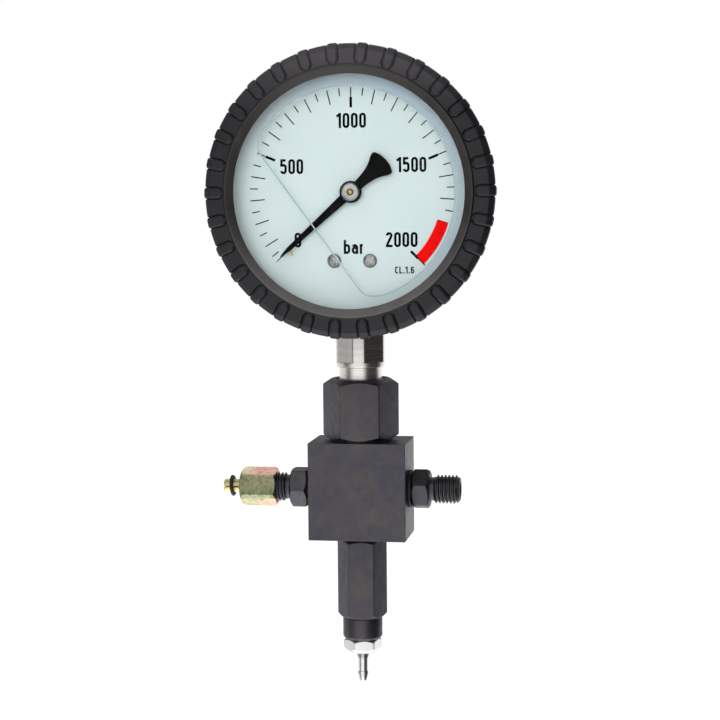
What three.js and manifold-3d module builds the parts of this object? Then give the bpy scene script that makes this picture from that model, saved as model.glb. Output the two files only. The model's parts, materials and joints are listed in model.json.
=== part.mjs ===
// High-pressure test gauge on a manifold block, in millimetres, +Z up, its face towards -Y.
// The block's centre is the working origin of every group below. The finished part is moved so
// that its own origin is the middle of the inlet stud's outer end, where the part is screwed in.
import * as THREE from "three";
import { mergeVertices } from "three/addons/utils/BufferGeometryUtils.js";
import Module from "manifold-3d";

const wasm = await Module();
wasm.setup();

// ---- Driving dimensions ----
const GAP = 0.3; // between pieces that touch
const blockSide = 40;
const blockDepth = 27;
const blockChamfer = 0.6;
const chamferSlope = 0.65; // axial over radial length of a turned hex chamfer

const gaugeHeight = 121.3; // gauge axis above the block's centre
const caseRadius = 50.3;
const caseWall = 1.2;
const caseBack = -17; // gauge depths are measured forward from the stem's axis
const caseRim = 21;
const bezelRadius = 53.3;
const lensRadius = 52;
const lensBack = 22.9;
const lensFront = 25.9;
const dialRadius = 48.6;
const dialBack = 16.9;
const dialFront = 17.7;
const dialScrew = { x: 7.2, y: -27.3, head: 2.65, shank: 1.2 };
const frameScrewHeights = [-24.6, -31]; // from the gauge's axis
const fillPlugHeight = 27;
const bootRadius = 57.9;
const bootFront = 29.8;
const bootBack = -20;
const bootTaper = 0.115; // radius lost for each millimetre towards the back
const ribCount = 30;
const ribWidth = 4.5;
const ribHeight = 0.6;
const ribBack = 14;
const roundSides = 30; // facets of the gauge's large round pieces

const pointerRest = 221.7; // degrees, counter-clockwise from 3 o'clock seen from the front
const pointerReach = 38.7;
const stopPin = { angle: 225, radius: 34.5, r: 0.55 };

const couplingAcross = 27;
const couplingBottom = 20.9;
const couplingTop = 45.5;
const couplingTurn = 6.5; // degrees that the front flat turns towards +X
const stemRadius = 9.9;
const stemSquare = 17;
const stemTurn = 4.9; // degrees that the corner between two flats turns towards +X
const stemNeckRadius = 8.7;

const threadPitch = 1.5;
const threadCrest = 5.9;
const threadRoot = 4.98;
const adapterAcross = 15;
const studReach = 20.9; // block face to the stud's outer end
const nutAcross = 14;
const nutInner = 15.2; // from the block's left face
const nutOuter = 31.5;
const stubRadius = 2.83;
const stubEnd = 37.75;

const valveAcross = 17.7;
const valveTop = 0.35; // valve depths are measured down from the block's bottom face
const valveBottom = 33.7;
const collarRadius = 8.15;
const collarBottom = 42.7;
const nozzleAcross = 14;
const nozzleHexBottom = 48.4;
const nozzleTip = 61.1;

const sectorPitchRadius = 16;
const pinionPitchRadius = 1.6;
const pinionTeeth = 12;
const sectorSweep = 27; // degrees, a tenth of the pointer's turn
const tailRadius = 6.5;
const tubeRadius = 35;
const tubeStartDepth = 2;
const tubeEndDepth = -8.9;

const radians = THREE.MathUtils.degToRad;

// ---- Solids ----
function solidOf(geometry) {
  const bare = geometry.clone();
  bare.deleteAttribute("normal");
  bare.deleteAttribute("uv");
  const merged = mergeVertices(bare, 1e-4);
  const kept = [];
  const corners = merged.index.array;
  for (let i = 0; i < corners.length; i += 3) {
    const [a, b, c] = [corners[i], corners[i + 1], corners[i + 2]];
    if (a !== b && b !== c && c !== a) {
      kept.push(a, b, c);
    }
  }
  return new wasm.Manifold(
    new wasm.Mesh({
      numProp: 3,
      vertProperties: merged.attributes.position.array,
      triVerts: new Uint32Array(kept),
    }),
  );
}

function geometryOf(solid) {
  const mesh = solid.getMesh();
  const indexed = new THREE.BufferGeometry();
  indexed.setAttribute("position", new THREE.BufferAttribute(mesh.vertProperties, 3));
  indexed.setIndex(new THREE.BufferAttribute(mesh.triVerts, 1));
  const flat = indexed.toNonIndexed();
  flat.computeVertexNormals();
  return flat;
}

function join(...geometries) {
  return geometryOf(geometries.map(solidOf).reduce((sum, next) => sum.add(next)));
}

function cut(base, ...tools) {
  return geometryOf(tools.map(solidOf).reduce((rest, next) => rest.subtract(next), solidOf(base)));
}

function common(a, b) {
  return geometryOf(solidOf(a).intersect(solidOf(b)));
}

// A solid of revolution about Z from [radius, height] pairs, outer side running up.
function turned(profile, segments = 20, start = 0) {
  const points = profile.map(([r, h]) => new THREE.Vector2(r, h));
  return new THREE.LatheGeometry(points, segments, start).rotateX(Math.PI / 2);
}

// A ring of revolution: its profile closes on itself, counter-clockwise in (radius, height).
function turnedRing(profile, segments = 20, start = 0) {
  return turned([...profile, profile[0]], segments, start);
}

function rod(radius, from, to, segments = 16) {
  return turned([[0, from], [radius, from], [radius, to], [0, to]], segments);
}

function washer(inner, outer, from, to, segments = 20) {
  return turnedRing([[inner, from], [outer, from], [outer, to], [inner, to]], segments);
}

function box(x0, x1, y0, y1, z0, z1) {
  return new THREE.BoxGeometry(x1 - x0, y1 - y0, z1 - z0).translate(
    (x0 + x1) / 2,
    (y0 + y1) / 2,
    (z0 + z1) / 2,
  );
}

function plate(points, from, to) {
  const shape = new THREE.Shape(points.map(([x, y]) => new THREE.Vector2(x, y)));
  const options = { depth: to - from, bevelEnabled: false, steps: 1 };
  return new THREE.ExtrudeGeometry(shape, options).translate(0, 0, from);
}

// A hexagon bar along Z with turned chamfers. `turn` is the angle of its first flat from -Y, in
// degrees; faceLow and faceHigh are the radii of the flat end faces.
function hexBar(across, from, to, faceLow, faceHigh, turn) {
  const corner = across / Math.sqrt(3);
  const points = [];
  for (let i = 0; i < 6; i++) {
    const angle = radians(-90 + turn + 30 + 60 * i);
    points.push([corner * Math.cos(angle), corner * Math.sin(angle)]);
  }
  const wide = corner + 0.4;
  const profile = [
    [0, from],
    [faceLow, from],
    [wide, from + (wide - faceLow) * chamferSlope],
    [wide, to - (wide - faceHigh) * chamferSlope],
    [faceHigh, to],
    [0, to],
  ];
  return common(plate(points, from, to), turned(profile, 18));
}

// A threaded bar along Z: a right-hand screw surface with a conical point at its far end.
function threadedBar(from, to, pointRadius, segments = 12, rowsPerPitch = 4) {
  const rows = Math.round(((to - from) / threadPitch) * rowsPerPitch);
  const profile = [[0, from]];
  for (let i = 0; i <= rows; i++) {
    profile.push([threadCrest, from + ((to - from) * i) / rows]);
  }
  profile.push([0, to]);
  const bar = turned(profile, segments);
  const place = bar.attributes.position;
  for (let i = 0; i < place.count; i++) {
    const [x, y, z] = [place.getX(i), place.getY(i), place.getZ(i)];
    const radius = Math.hypot(x, y);
    if (radius < 1) {
      continue;
    }
    const turns = z / threadPitch - Math.atan2(y, x) / (2 * Math.PI);
    const phase = turns - Math.floor(turns);
    const ramp = Math.min(1, Math.max(0, 2.4 * Math.abs(phase - 0.5) - 0.1));
    const point = pointRadius + (to - z) * 1.1;
    const wanted = Math.min(threadRoot + (threadCrest - threadRoot) * ramp, point);
    place.setX(i, (x * wanted) / radius);
    place.setY(i, (y * wanted) / radius);
  }
  return bar;
}

// ---- Materials: one per mesh ----
const finishes = {
  rubber: { color: 0x232325, roughness: 0.75, metalness: 0 },
  blackSteel: { color: 0x3b3a3f, roughness: 0.5, metalness: 0.6 },
  blackSeal: { color: 0x141414, roughness: 0.7, metalness: 0 },
  nickel: { color: 0xc9c3b8, roughness: 0.25, metalness: 1 },
  stainless: { color: 0xb8b8ba, roughness: 0.35, metalness: 1 },
  glass: { color: 0xe8f4f4, roughness: 0.05, metalness: 0 },
  dial: { color: 0xdfeeee, roughness: 0.6, metalness: 0 },
  pointer: { color: 0x0d0d0e, roughness: 0.5, metalness: 0 },
  brass: { color: 0xb5913f, roughness: 0.35, metalness: 1 },
  chromate: { color: 0xb9b478, roughness: 0.35, metalness: 0.8 },
  gold: { color: 0xe0c860, roughness: 0.25, metalness: 1 },
  zinc: { color: 0xe4e6e4, roughness: 0.3, metalness: 0.9 },
  spring: { color: 0x9fa0a2, roughness: 0.3, metalness: 1 },
};

function addPart(group, name, geometry, finish) {
  const mesh = new THREE.Mesh(geometry, new THREE.MeshStandardMaterial(finishes[finish]));
  mesh.name = name;
  group.add(mesh);
}

// ---- Groups: one for each direction that pieces are turned about ----
const group = new THREE.Group();
const assembly = new THREE.Group();
assembly.position.x = -(blockSide / 2 + studReach);
group.add(assembly);

// Gauge frame: x right, y up, z forward, its origin on the gauge's axis above the stem.
const gauge = new THREE.Group();
gauge.rotation.x = Math.PI / 2;
gauge.position.z = gaugeHeight;

// Side frames: z points out of the block's side face.
const rightSide = new THREE.Group();
rightSide.rotation.y = Math.PI / 2;
rightSide.position.x = blockSide / 2;
const leftSide = new THREE.Group();
leftSide.rotation.y = -Math.PI / 2;
leftSide.position.x = -blockSide / 2;

// Valve frame: z points down out of the block's bottom face.
const valve = new THREE.Group();
valve.rotation.x = Math.PI;
valve.position.z = -blockSide / 2;
assembly.add(gauge, rightSide, leftSide, valve);

// ---- Manifold block: square bar with four ports and crossing bores ----
function manifoldBlock() {
  const half = blockSide / 2 - blockChamfer;
  const outline = [];
  const corners = [
    [1, -1, 0],
    [1, 1, 1],
    [-1, 1, 0],
    [-1, -1, 1],
  ];
  for (const [sx, sy, swap] of corners) {
    const flat = [half * sx, (half + blockChamfer) * sy];
    const side = [(half + blockChamfer) * sx, half * sy];
    outline.push(...(swap ? [side, flat] : [flat, side]));
  }
  const shape = new THREE.Shape(outline.map(([x, y]) => new THREE.Vector2(x, y)));
  const bar = new THREE.ExtrudeGeometry(shape, {
    depth: blockDepth - 2 * blockChamfer,
    bevelEnabled: true,
    bevelSegments: 1,
    bevelSize: blockChamfer,
    bevelThickness: blockChamfer,
    bevelOffset: -blockChamfer,
    steps: 1,
  });
  bar.translate(0, 0, -blockDepth / 2 + blockChamfer).rotateX(Math.PI / 2);
  const face = blockSide / 2;
  const topPort = rod(9, couplingBottom - 11, face + 1);
  const bottomPort = rod(6.2, -face - 1, -face + 9.6);
  const bore = rod(1.6, -face, face, 16);
  const crossBore = rod(1.6, -face, face, 16).rotateY(Math.PI / 2);
  const rightPort = rod(5.4, face - 8.6, face + 1).rotateY(Math.PI / 2);
  const leftPort = rod(5.4, face - 8.6, face + 1).rotateY(-Math.PI / 2);
  return cut(bar, topPort, bottomPort, bore, crossBore, rightPort, leftPort);
}
addPart(assembly, "manifold_block", manifoldBlock(), "blackSteel");

// ---- Gauge coupling and its washer ----
addPart(
  assembly,
  "gauge_seal_washer",
  washer(9.3, 12.1, blockSide / 2 + 0.05, couplingBottom - 0.1),
  "blackSeal",
);

function gaugeCoupling() {
  const hex = hexBar(couplingAcross, couplingBottom, couplingTop, 13.3, 11.9, couplingTurn);
  const spigot = rod(8.7, couplingBottom - 10.5, couplingBottom + 1);
  const stemPort = rod(10.5, couplingTop - 14, couplingTop + 1);
  const bore = rod(2, couplingBottom - 12, couplingTop, 16);
  return cut(join(hex, spigot), stemPort, bore);
}
addPart(assembly, "gauge_coupling", gaugeCoupling(), "blackSteel");

// ---- Socket and stem, one forged and turned piece, standing in the coupling ----
const socketTop = gaugeHeight - 21.7;
const stemBottom = couplingTop - 12;
const tubeSocketHalf = 12;

function socketStem() {
  const turnedStem = turned(
    [
      [0, stemBottom],
      [9.4, stemBottom],
      [10.1, stemBottom + 1],
      [10.1, couplingTop - 1.6],
      [stemNeckRadius, couplingTop - 1],
      [stemNeckRadius, 50.4],
      [stemRadius - 0.5, 50.7],
      [stemRadius, 51.2],
      [stemRadius, gaugeHeight - 46],
      [0, gaugeHeight - 46],
    ],
    24,
  );
  const flatFrom = 52.2;
  const flatTo = gaugeHeight - caseRadius - 3.4;
  const flats = [45, 135, 225, 315].map((angle) =>
    box(stemSquare / 2, 2 * stemRadius, -stemRadius, stemRadius, flatFrom, flatTo).rotateZ(
      radians(angle + stemTurn),
    ),
  );
  const squared = cut(turnedStem, ...flats);
  const socket = box(-tubeSocketHalf, tubeSocketHalf, -7, 5, gaugeHeight - 46.5, socketTop);
  const post = (x) =>
    rod(3.2, 6, dialBack - GAP)
      .rotateX(Math.PI / 2)
      .translate(x, 0, gaugeHeight + dialScrew.y);
  const screwHole = (x) =>
    rod(1.5, 10, dialBack, 16)
      .rotateX(Math.PI / 2)
      .translate(x, 0, gaugeHeight + dialScrew.y);
  const frameHole = (y) =>
    rod(1.35, 1, 8, 16)
      .rotateX(Math.PI / 2)
      .translate(0, 0, gaugeHeight + y);
  const bore = rod(2.5, stemBottom - 1, gaugeHeight - tubeRadius, 20);
  const body = join(squared, socket, post(-dialScrew.x), post(dialScrew.x));
  return cut(
    body,
    screwHole(-dialScrew.x),
    screwHole(dialScrew.x),
    ...frameScrewHeights.map(frameHole),
    bore,
  );
}
addPart(assembly, "socket_stem", socketStem(), "nickel");
addPart(
  assembly,
  "restrictor_screw",
  washer(0.4, 2.2, stemBottom + 1, stemBottom + 7, 16),
  "brass",
);

// ---- Case, bezel, window ----
function gaugeCase() {
  const inner = caseRadius - caseWall;
  const shell = turned(
    [
      [0, caseBack],
      [caseRadius - 3, caseBack],
      [caseRadius, caseBack + 3],
      [caseRadius, caseRim - 1],
      [52.2, caseRim - 1],
      [52.2, caseRim],
      [inner, caseRim],
      [inner, caseBack + 3.4],
      [inner - 2, caseBack + 1.5],
      [0, caseBack + 1.5],
    ],
    roundSides,
  );
  const stemHole = rod(10.5, 40, 60, 24).rotateX(Math.PI / 2);
  const fillHole = rod(6.2, caseBack - 2, caseBack + 4).translate(0, fillPlugHeight, 0);
  return cut(shell, stemHole, fillHole);
}
addPart(gauge, "gauge_case", gaugeCase(), "stainless");

const fillPlug = turned(
  [
    [0, caseBack - 2.4],
    [7.2, caseBack - 2.4],
    [8, caseBack - 1.8],
    [8, caseBack - GAP],
    [5.7, caseBack - GAP],
    [5.7, caseBack + 3.6],
    [0, caseBack + 3.6],
  ],
  20,
).translate(0, fillPlugHeight, 0);
addPart(gauge, "case_fill_plug", fillPlug, "rubber");

const bezel = turnedRing(
  [
    [50.7, 18.9],
    [bezelRadius, 18.9],
    [bezelRadius, 25.9],
    [52.2, 27],
    [47, 27],
    [47, 26.2],
    [52.5, 26.2],
    [52.5, 19.7],
    [50.7, 19.7],
  ],
  roundSides,
);
addPart(gauge, "bezel_ring", bezel, "stainless");
addPart(gauge, "window_lens", rod(lensRadius, lensBack, lensFront, roundSides), "glass");
const gasket = washer(49.3, lensRadius, caseRim + GAP, lensBack - GAP, roundSides);
addPart(gauge, "window_gasket", gasket, "blackSeal");

// ---- Rubber boot with its ribs: thick round the bezel, tapering to a sleeve behind ----
const ribPitch = (2 * Math.PI) / ribCount;
const bootWidest = 26;

// Each facet of the boot lies under one rib, so bores are widened to clear round pieces.
function bootBore(radius) {
  return (radius + GAP) / Math.cos(ribPitch / 2);
}

function bootSide(depth) {
  return bootRadius - bootTaper * (bootWidest - depth);
}

function rib(angle) {
  const front = bootFront - 0.7 + ribHeight;
  const section = [
    [50.2, 27],
    [50.5, front],
    [55.4, front - 0.5],
    [bootRadius + ribHeight, bootWidest],
    [bootSide(ribBack) + 0.3, ribBack],
    [bootSide(ribBack) - 1.5, ribBack],
    [bootRadius - 3, 24],
    [53, 27],
  ];
  const shape = new THREE.Shape(section.map(([r, z]) => new THREE.Vector2(r, -z)).reverse());
  const bar = new THREE.ExtrudeGeometry(shape, { depth: ribWidth, bevelEnabled: false, steps: 1 });
  return bar
    .translate(0, 0, -ribWidth / 2)
    .rotateX(-Math.PI / 2)
    .rotateZ(angle);
}

function rubberBoot() {
  const sleeve = turnedRing(
    [
      [bootBore(caseRadius), caseBack - GAP],
      [43, caseBack - GAP],
      [43, bootBack],
      [bootSide(bootBack) - 3, bootBack],
      [bootSide(bootBack), bootBack + 3],
      [bootRadius, bootWidest],
      [57, 27.8],
      [54.5, bootFront - 0.8],
      [49.6, bootFront - 0.8],
      [49.2, bootFront],
      [47, bootFront],
      [46, 28],
      [46, 27.3],
      [bootBore(bezelRadius), 27.3],
      [bootBore(bezelRadius), 18.6],
      [bootBore(caseRadius + 2), 18.6],
    ],
    ribCount,
  );
  const ribs = [];
  for (let i = 0; i < ribCount; i++) {
    ribs.push(rib(ribPitch * i));
  }
  const stemCut = rod(stemRadius + 0.8, 44, 64, 24).rotateX(Math.PI / 2);
  return cut(join(sleeve, ...ribs), stemCut);
}
addPart(gauge, "rubber_boot", rubberBoot(), "rubber");

// ---- Dial, its screws and the zero stop ----
const stopX = stopPin.radius * Math.cos(radians(stopPin.angle));
const stopY = stopPin.radius * Math.sin(radians(stopPin.angle));
const dialHole = (radius, x, y) =>
  rod(radius, dialBack - 1, dialFront + 1, 12).translate(x, y, 0);
const dialPlate = cut(
  rod(dialRadius, dialBack, dialFront, roundSides),
  dialHole(2.6, 0, 0),
  dialHole(1.6, -dialScrew.x, dialScrew.y),
  dialHole(1.6, dialScrew.x, dialScrew.y),
  dialHole(0.8, stopX, stopY),
);
addPart(gauge, "dial_plate", dialPlate, "dial");

function panHeadScrew(head, shank, seat, length) {
  const body = turned(
    [
      [0, seat - length],
      [shank, seat - length],
      [shank, seat],
      [head, seat],
      [head, seat + 0.5],
      [head * 0.8, seat + 1.1],
      [head * 0.4, seat + 1.3],
      [0, seat + 1.3],
    ],
    12,
  );
  const slot = box(-head * 0.55, head * 0.55, -0.3, 0.3, seat + 0.4, seat + 2);
  return cut(body, slot.clone().rotateZ(radians(20)), slot.clone().rotateZ(radians(110)));
}
for (const [name, side] of [["dial_screw_left", -1], ["dial_screw_right", 1]]) {
  const screw = panHeadScrew(dialScrew.head, dialScrew.shank, dialFront + 0.05, 6);
  addPart(gauge, name, screw.translate(side * dialScrew.x, dialScrew.y, 0), "stainless");
}
addPart(
  gauge,
  "zero_stop_pin",
  rod(stopPin.r, dialBack - 0.6, dialFront + 3.2, 12).translate(stopX, stopY, 0),
  "brass",
);

// ---- Pointer, hub and arbor ----
const pointerBack = 19.8;
const pointerFront = 20.4;

function pointerBlade() {
  // Outline along +X from its tail to its tip, then mirrored below.
  const upper = [
    [-18.9, 0],
    [-18.5, 3.2],
    [-17, 5.5],
    [-15.4, 4.9],
    [-10.5, 2.6],
    [-4, 1.9],
    [4, 1.8],
    [18, 1.3],
    [pointerReach - 5, 0.9],
    [pointerReach, 0.15],
  ];
  const lower = upper.slice(1).map(([x, y]) => [x, -y]);
  const outline = [...upper, ...lower.reverse()].reverse();
  const blade = plate(outline, pointerBack, pointerFront);
  const boss = rod(4.35, pointerBack - 0.3, pointerFront + 0.6, 18);
  const bore = rod(2, pointerBack - 2, pointerFront + 2, 20);
  return cut(join(blade, boss), bore).rotateZ(radians(pointerRest));
}
addPart(gauge, "pointer", pointerBlade(), "pointer");

const hub = turnedRing(
  [
    [1.3, 18.5],
    [1.9, 18.5],
    [1.9, pointerFront + 0.7],
    [3.65, pointerFront + 0.7],
    [3.65, pointerFront + 1.1],
    [3, pointerFront + 1.5],
    [1.3, pointerFront + 1.5],
  ],
  18,
);
addPart(gauge, "pointer_hub", hub, "stainless");

// Teeth as [radius, angle] steps round a pitch circle. They are thin enough to run clear.
function toothOutline(pitchRadius, pitchAngle, first, last) {
  const toothHeight = 0.17;
  const toothDepth = 0.33;
  const outline = [];
  for (let i = first; i <= last; i++) {
    const middle = i * pitchAngle;
    for (const [offset, step] of [[-0.27, -1], [-0.1, 1], [0.1, 1], [0.27, -1]]) {
      const radius = pitchRadius + (step > 0 ? toothHeight : -toothDepth);
      const angle = middle + offset * pitchAngle;
      outline.push([radius * Math.cos(angle), radius * Math.sin(angle)]);
    }
  }
  return outline;
}

function pinionArbor() {
  const shaft = turned(
    [
      [0, 7.6],
      [0.6, 7.6],
      [0.6, 9],
      [1, 9],
      [1, 18],
      [1.15, 18.2],
      [1.15, 21.5],
      [0.7, 21.7],
      [0, 21.5],
    ],
    14,
  );
  const pitchAngle = (2 * Math.PI) / pinionTeeth;
  const teeth = plate(toothOutline(pinionPitchRadius, pitchAngle, 0, pinionTeeth - 1), 9.9, 11.3);
  return join(shaft, teeth.rotateZ(radians(90) + pitchAngle / 2 + Math.PI));
}
addPart(gauge, "pinion_arbor", pinionArbor(), "brass");

// ---- Sector gear, pivoting below the arbor ----
const sectorPivotY = -(sectorPitchRadius + pinionPitchRadius);
const tailAngle = radians(-sectorSweep / 2);
const tail = [
  tailRadius * Math.cos(tailAngle),
  sectorPivotY + tailRadius * Math.sin(tailAngle),
];

function sectorGear() {
  const ratio = sectorPitchRadius / pinionPitchRadius;
  const pitchAngle = (2 * Math.PI) / (pinionTeeth * ratio);
  const first = -Math.ceil(radians(sectorSweep + 4) / pitchAngle);
  const arc = toothOutline(sectorPitchRadius, pitchAngle, first, 2).map(([x, y]) => [-y, x]);
  const outline = [...arc, [-1.2, 6], [-2.4, 0.6], [-1.6, -2.2], [1.6, -2.2], [2.6, 1.4]];
  const web = plate(outline, 10.1, 11.1).translate(0, sectorPivotY, 0);
  const lever = box(0, tailRadius, -1.3, 1.3, 10.1, 11.1)
    .rotateZ(tailAngle)
    .translate(0, sectorPivotY, 0);
  const tailEye = rod(1.5, 10.1, 11.1, 16).translate(...tail, 0);
  const tailPin = rod(0.5, 9, 11, 12).translate(...tail, 0);
  const shaft = join(rod(0.6, 7.8, 14.8, 12), rod(1.3, 9.2, 13.4, 16)).translate(0, sectorPivotY, 0);
  return join(web, lever, tailEye, tailPin, shaft);
}
addPart(gauge, "sector_gear", sectorGear(), "brass");

// ---- Link from the sector's tail up to the tube's tip ----
const tipPivot = [tail[0], 24];

function linkBar() {
  const width = 1.1;
  const bar = box(tail[0] - width, tail[0] + width, tail[1], tipPivot[1], 9.1, 9.8);
  const eye = (x, y) => rod(1.7, 9.1, 9.8, 16).translate(x, y, 0);
  const hole = (radius, x, y) => rod(radius, 8, 11, 16).translate(x, y, 0);
  return cut(join(bar, eye(...tail), eye(...tipPivot)), hole(0.85, ...tail), hole(0.6, ...tipPivot));
}
addPart(gauge, "link", linkBar(), "brass");

// ---- Helical bourdon tube: nearly one and a half turns, from the socket's side to the top ----
const tubeSection = 2.9;
const tubeStart = radians(-90) + Math.asin((tubeSocketHalf + GAP) / (tubeRadius - tubeSection));
const tubeTurn = radians(360 + 75) - tubeStart;

class CoilPath extends THREE.Curve {
  getPoint(t, target = new THREE.Vector3()) {
    const angle = tubeStart + tubeTurn * t;
    const descent = THREE.MathUtils.smoothstep(t, 0, 0.62);
    const depth = tubeStartDepth + (tubeEndDepth - tubeStartDepth) * descent;
    return target.set(tubeRadius * Math.cos(angle), tubeRadius * Math.sin(angle), depth);
  }
}

function ellipse(radiusX, radiusY, points) {
  const shape = new THREE.Shape();
  shape.absellipse(0, 0, radiusX, radiusY, 0, 2 * Math.PI);
  return new THREE.Shape(shape.getPoints(points / 2).slice(0, -1));
}

function swept(shape, path, steps) {
  return new THREE.ExtrudeGeometry(shape, { steps, extrudePath: path, bevelEnabled: false });
}
const tubeRound = ellipse(tubeSection, tubeSection, 8);
addPart(gauge, "bourdon_tube", swept(tubeRound, new CoilPath(), 36), "brass");

function tubeTip() {
  const end = tubeStart + tubeTurn;
  const [x, y] = [tubeRadius * Math.cos(end), tubeRadius * Math.sin(end)];
  const plug = box(GAP, 4.6, -3.4, 3.4, -3, 2.1)
    .rotateZ(end + Math.PI / 2)
    .translate(x, y, tubeEndDepth);
  const [left, right] = [tipPivot[0] - 2, tipPivot[0] + 1.6];
  const foot = box(left, right, tipPivot[1] - 2.2, y, -11.6, -6.8);
  const arm = box(left, right, tipPivot[1] - 2.2, tipPivot[1] + 2.2, -11.6, 8.8);
  const pin = rod(0.5, 8, 10.2, 12).translate(...tipPivot, 0);
  return join(plug, foot, arm, pin);
}
addPart(gauge, "tube_tip", tubeTip(), "brass");

// ---- Hairspring ----
class SpiralPath extends THREE.Curve {
  getPoint(t, target = new THREE.Vector3()) {
    const angle = 2 * Math.PI * 3 * t;
    const radius = 1.5 + 3 * t;
    return target.set(radius * Math.cos(angle), radius * Math.sin(angle), 12.5);
  }
}
const strip = new THREE.Shape([
  new THREE.Vector2(-0.35, -0.08),
  new THREE.Vector2(0.35, -0.08),
  new THREE.Vector2(0.35, 0.08),
  new THREE.Vector2(-0.35, 0.08),
]);
addPart(gauge, "hairspring", swept(strip, new SpiralPath(), 36), "spring");

// ---- Movement frame ----
const pillarPlaces = [[-10.5, -8], [10.5, -8]];
const frameOutline = [
  [-12.8, 6],
  [-12.8, -13],
  [-3.6, -20.8],
  [3.6, -20.8],
  [12.8, -13],
  [12.8, 6],
];
const footOutline = [
  [-12.8, 6],
  [-12.8, -13],
  [-3.6, -20.8],
  [-3.6, -34],
  [3.6, -34],
  [3.6, -20.8],
  [12.8, -13],
  [12.8, 6],
];

function framePlate(outline, from, to, screwHoles) {
  const hole = (radius, x, y) => rod(radius, from - 1, to + 1, 16).translate(x, y, 0);
  const holes = [
    hole(from > 10 ? 1.2 : 0.8, 0, 0),
    hole(0.8, 0, sectorPivotY),
    ...pillarPlaces.map(([x, y]) => hole(1.1, x, y)),
    ...screwHoles.map((y) => hole(1.4, 0, y)),
  ];
  return cut(plate(outline, from, to), ...holes);
}
addPart(gauge, "movement_back_plate", framePlate(footOutline, 7.3, 8.8, frameScrewHeights), "brass");
addPart(gauge, "movement_front_plate", framePlate(frameOutline, 13.8, 15.3, []), "brass");

const pillarProfile = [
  [0, 7.5],
  [0.9, 7.5],
  [0.9, 9],
  [2, 9],
  [2, 13.6],
  [0.9, 13.6],
  [0.9, 15.1],
  [0, 15.1],
];
for (const [index, [x, y]] of pillarPlaces.entries()) {
  const name = index ? "movement_pillar_right" : "movement_pillar_left";
  addPart(gauge, name, turned(pillarProfile, 12).translate(x, y, 0), "brass");
}
for (const [index, y] of frameScrewHeights.entries()) {
  const name = index ? "movement_screw_lower" : "movement_screw_upper";
  addPart(gauge, name, panHeadScrew(2.3, 1.1, 8.85, 6).translate(0, y, 0), "stainless");
}

// ---- Right side: washer and inlet adapter with its male stud ----
addPart(rightSide, "right_washer", washer(5.3, 7.7, 0.1, 1.1), "blackSeal");

const hexEnd = 8.6;
const neckEnd = 10.3;

function inletAdapter() {
  const hex = hexBar(adapterAcross, 1.4, hexEnd, 6.9, 6.9, 0);
  const spigot = rod(5.1, -8.3, 2);
  const neck = rod(4.8, hexEnd - 1, neckEnd + 0.5);
  const stud = threadedBar(neckEnd, studReach, 4.5);
  const bore = rod(1.5, -9, studReach + 1, 16);
  const cone = turned([[0, 17.4], [1.4, 17.4], [3.7, studReach + 0.2], [0, studReach + 0.2]], 24);
  // The frame's x axis points down here, so the corner sits at this turn from the front.
  return cut(join(hex.rotateZ(radians(-30 - 16)), spigot, neck, stud), bore, cone);
}
addPart(rightSide, "right_adapter", inletAdapter(), "blackSteel");

// ---- Left side: adapter, union nut, blanking plug and its ring ----
const leftHexEnd = 9.2;
const leftNeckEnd = 11;
const leftStudEnd = 22.9;

function sideAdapter() {
  const hex = hexBar(adapterAcross, GAP, leftHexEnd, 7.1, 6.9, 0);
  const spigot = rod(5.1, -8.3, 2);
  const neck = rod(4.95, leftHexEnd - 1, leftNeckEnd + 0.5);
  const screw = threadedBar(leftNeckEnd, leftNeckEnd + 6, 7);
  const stud = rod(threadRoot + 0.4, leftNeckEnd + 5, leftStudEnd);
  const bore = rod(1.5, -9, leftStudEnd + 1, 16);
  const cone = turned([[0, 19.4], [1.4, 19.4], [3.7, leftStudEnd + 0.2], [0, leftStudEnd + 0.2]], 24);
  return cut(join(hex.rotateZ(radians(30 - 3)), spigot, neck, screw, stud), bore, cone);
}
addPart(leftSide, "left_adapter", sideAdapter(), "blackSteel");

function unionNut() {
  const hexagon = hexBar(nutAcross, nutInner, nutOuter, 6.7, 6.6, 0).rotateZ(radians(12));
  const dome = turned(
    [
      [0, nutInner - 1],
      [12, nutInner - 1],
      [12, nutOuter - 4.2],
      [8.1, nutOuter - 3],
      [6.6, nutOuter - 1.2],
      [4.6, nutOuter],
      [0, nutOuter],
    ],
    18,
  );
  const threadBore = turned(
    [[0, nutInner - 1], [7.2, nutInner - 1], [6.15, nutInner + 0.9], [6.15, 26], [3.15, 28], [0, 28]],
    18,
  );
  const stubHole = rod(3.15, 27, nutOuter + 1, 18);
  return cut(common(hexagon, dome), threadBore, stubHole);
}
addPart(leftSide, "union_nut", unionNut(), "chromate");

function blankingPlug() {
  const body = turned(
    [
      [0, 21.2],
      [1.9, 21.2],
      [3.3, leftStudEnd + 0.25],
      [5.6, leftStudEnd + 0.6],
      [5.6, 25.2],
      [stubRadius, 27.2],
      [stubRadius, stubEnd - 0.6],
      [stubRadius - 0.5, stubEnd],
      [0, stubEnd],
    ],
    18,
  );
  // The slot lies level and opens to the front.
  const slot = box(-0.25, 0.25, -stubRadius - 1, -0.4, nutOuter + 0.4, stubEnd + 1);
  return cut(body, slot);
}
addPart(leftSide, "blanking_plug", blankingPlug(), "gold");

const ring = new THREE.TorusGeometry(3.75, 0.68, 6, 18);
ring.rotateY(radians(-3.5)).translate(0.1, 0, 34.2);
addPart(leftSide, "retaining_ring", ring, "blackSeal");

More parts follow.
